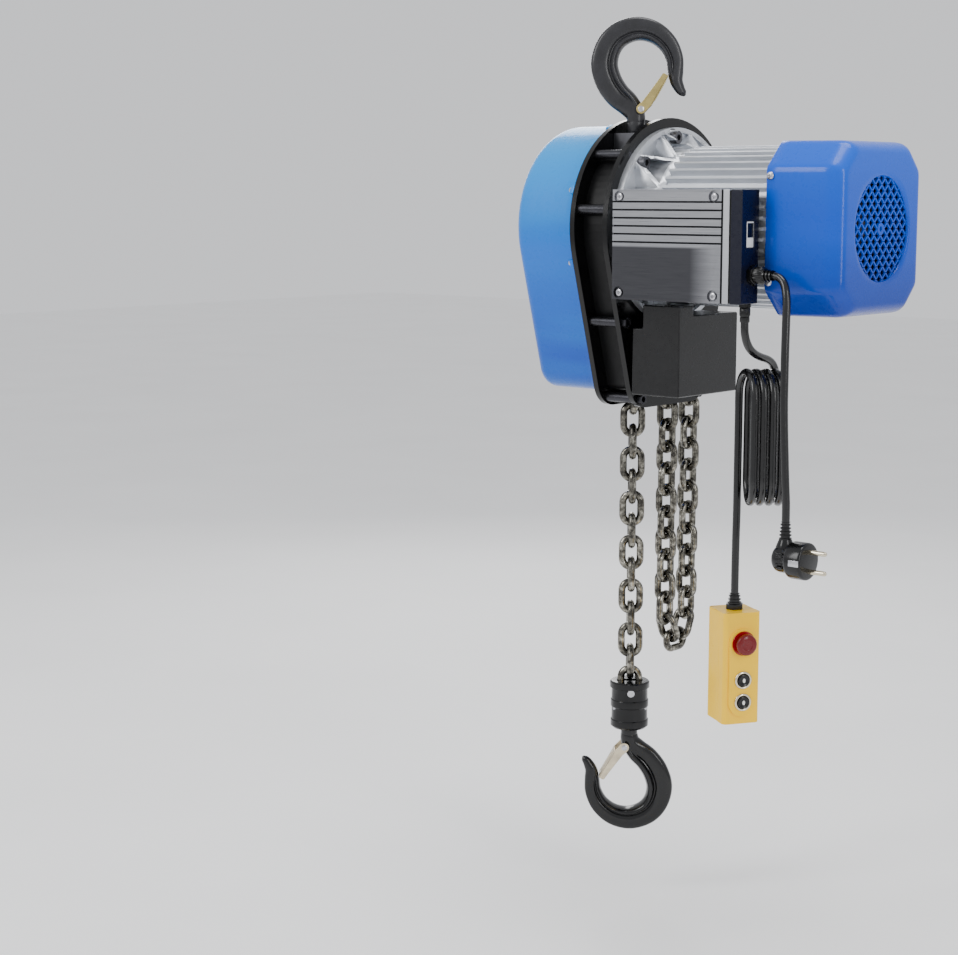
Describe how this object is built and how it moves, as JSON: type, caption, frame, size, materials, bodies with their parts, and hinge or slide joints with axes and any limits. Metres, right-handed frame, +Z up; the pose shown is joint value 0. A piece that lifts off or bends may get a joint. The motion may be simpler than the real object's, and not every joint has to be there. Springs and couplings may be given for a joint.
{
  "type": "electric chain hoist",
  "caption": "Hook-hung electric chain hoist with gear train, finned motor, ring chain and load hook, slack chain loop, mains lead and hanging push-button pendant.",
  "frame": {"origin": "saddle of the top hook, where it hangs from a beam eye, on the load line", "axes": "+X along the motor axis to the fan end, -Y the control box side, +Z up"},
  "size_m": [0.387, 0.2301, 0.8712],
  "materials": {
    "black_gloss_paint": "gloss",
    "black_satin_steel": "satin",
    "zinc_steel": "satin",
    "dark_machined_steel": "satin",
    "bearing_steel": "polished",
    "blue_paint": "gloss",
    "cast_iron": "matte",
    "cast_aluminium": "satin",
    "core_steel": "satin",
    "copper_winding": "satin",
    "brushed_aluminium": "brushed",
    "black_rubber": "matte",
    "navy_plastic": "satin",
    "dark_plastic": "matte",
    "black_painted_box": "satin",
    "white_plastic": "matte",
    "black_plastic": "gloss",
    "chain_steel": "semi-gloss",
    "yellow_plastic": "semi-gloss",
    "chrome_ring": "polished",
    "cord_rubber": "satin",
    "gear_steel": "oiled",
    "black_block_paint": "gloss",
    "dark_forged_steel": "satin",
    "plated_latch": "satin",
    "red_plastic": "gloss"
  },
  "bodies": {
    "frame": {"left_side_plate": "black_gloss_paint", "right_side_plate": "black_gloss_paint", "chain_guard": "black_satin_steel", "stay_bolts": "zinc_steel", "hook_yoke": "dark_machined_steel", "chain_anchor_pin": "zinc_steel", "sheave_bearings": "bearing_steel", "shaft_bearings": "bearing_steel", "gear_cover": "blue_paint", "casing_screws": "zinc_steel", "gear_carrier": "cast_iron", "motor_flange": "cast_aluminium", "flange_bolts": "dark_machined_steel", "motor_housing": "cast_aluminium", "rear_end_shield": "cast_aluminium", "stator_core": "core_steel", "stator_windings": "copper_winding", "brake_coil": "dark_machined_steel", "fan_cover": "blue_paint", "control_box": "brushed_aluminium", "control_box_lid": "brushed_aluminium", "control_box_gaskets": "black_rubber", "control_box_end_cap": "navy_plastic", "contactor": "dark_plastic", "transformer": "copper_winding", "lower_box": "black_painted_box", "capacitor": "white_plastic", "cable_glands": "black_plastic", "sheave_chain": "chain_steel", "pendant_case": "yellow_plastic", "pendant_cover": "yellow_plastic", "pendant_gland": "black_plastic", "button_bezels": "chrome_ring", "power_cord": "cord_rubber", "power_plug": "black_plastic", "plug_pins": "zinc_steel", "pendant_cord": "cord_rubber", "cord_hank": "cord_rubber"},
    "rotor": {"motor_shaft": "dark_machined_steel", "rotor_core": "core_steel", "brake_disc": "dark_plastic", "cooling_fan": "dark_plastic"},
    "brake_armature": {"brake_armature": "dark_machined_steel"},
    "idler_1": {"idler_1": "gear_steel"},
    "idler_2": {"idler_2": "gear_steel"},
    "sheave": {"load_sheave": "dark_machined_steel", "load_gear": "gear_steel"},
    "hook_block": {"hook_block_front": "black_block_paint", "hook_block_back": "black_block_paint", "hook_block_screws": "zinc_steel", "chain_pin": "zinc_steel", "load_chain": "chain_steel"},
    "slack_loop": {"slack_chain": "chain_steel"},
    "upper_hook": {"upper_hook": "dark_forged_steel"},
    "upper_latch": {"upper_latch": "plated_latch"},
    "lower_hook": {"lower_hook": "black_block_paint"},
    "lower_latch": {"lower_latch": "plated_latch"},
    "e_stop_button": {"e_stop_button": "red_plastic"},
    "up_button": {"up_button": "black_plastic"},
    "down_button": {"down_button": "black_plastic"}
  },
  "joints": [
    {"name": "rotor_spin", "type": "hinge", "parent": "frame", "child": "rotor", "pos_m": [0, 0.03165, -0.19], "axis": [1, 0, 0], "range_deg": [-5760, 23040]},
    {"name": "idler_1_spin", "type": "hinge", "parent": "frame", "child": "idler_1", "pos_m": [0, 0.00165, -0.24196], "axis": [1, 0, 0], "range_deg": [-5760, 1440]},
    {"name": "idler_2_spin", "type": "hinge", "parent": "frame", "child": "idler_2", "pos_m": [0, 0.06165, -0.24196], "axis": [1, 0, 0], "range_deg": [-360, 1440]},
    {"name": "sheave_spin", "type": "hinge", "parent": "frame", "child": "sheave", "pos_m": [0, 0.03165, -0.19], "axis": [1, 0, 0], "range_deg": [-360, 90], "deforming": ["sheave_chain"]},
    {"name": "hook_lift", "type": "slide", "parent": "frame", "child": "hook_block", "axis": [0, 0, 1], "range_m": [-0.048, 0.192], "deforming": ["load_chain"]},
    {"name": "slack_slide", "type": "slide", "parent": "frame", "child": "slack_loop", "axis": [0, 0, 1], "range_m": [-0.096, 0.024], "deforming": ["slack_chain"]},
    {"name": "upper_hook_swivel", "type": "hinge", "parent": "frame", "child": "upper_hook", "pos_m": [0, 0, -0.105], "axis": [0, 0, 1], "continuous": true},
    {"name": "upper_latch_hinge", "type": "hinge", "parent": "upper_hook", "child": "upper_latch", "pos_m": [0.00402, 0.00297, -0.0696], "axis": [0.5948, -0.8039, 0], "range_deg": [0, 35], "stiffness_Nm_per_rad": 0.05, "springref_deg": -17.19},
    {"name": "lower_hook_swivel", "type": "hinge", "parent": "hook_block", "child": "lower_hook", "pos_m": [0, 0, -0.72], "axis": [0, 0, 1], "continuous": true},
    {"name": "lower_latch_hinge", "type": "hinge", "parent": "lower_hook", "child": "lower_latch", "pos_m": [-0.00402, -0.00297, -0.752], "axis": [0.5948, -0.8039, 0], "range_deg": [0, 35], "stiffness_Nm_per_rad": 0.05, "springref_deg": -17.19},
    {"name": "e_stop_press", "type": "slide", "parent": "frame", "child": "e_stop_button", "axis": [-0.848, 0.5299, 0], "range_m": [0, 0.004]},
    {"name": "up_press", "type": "slide", "parent": "frame", "child": "up_button", "axis": [-0.848, 0.5299, 0], "range_m": [0, 0.005], "stiffness_N_per_m": 200},
    {"name": "down_press", "type": "slide", "parent": "frame", "child": "down_button", "axis": [-0.848, 0.5299, 0], "range_m": [0, 0.005], "stiffness_N_per_m": 200},
    {"name": "brake_release", "type": "slide", "parent": "frame", "child": "brake_armature", "axis": [-1, 0, 0], "range_m": [0, 0.0006], "stiffness_N_per_m": 2000}
  ],
  "couplings": [
    {"joint": "idler_1_spin", "follows": "rotor_spin", "ratio": -0.25},
    {"joint": "idler_2_spin", "follows": "rotor_spin", "ratio": 0.0625},
    {"joint": "sheave_spin", "follows": "rotor_spin", "ratio": -0.015625},
    {"joint": "hook_lift", "follows": "rotor_spin", "m_per_rad": 0.00047746},
    {"joint": "slack_slide", "follows": "rotor_spin", "m_per_rad": -0.00023873}
  ]
}
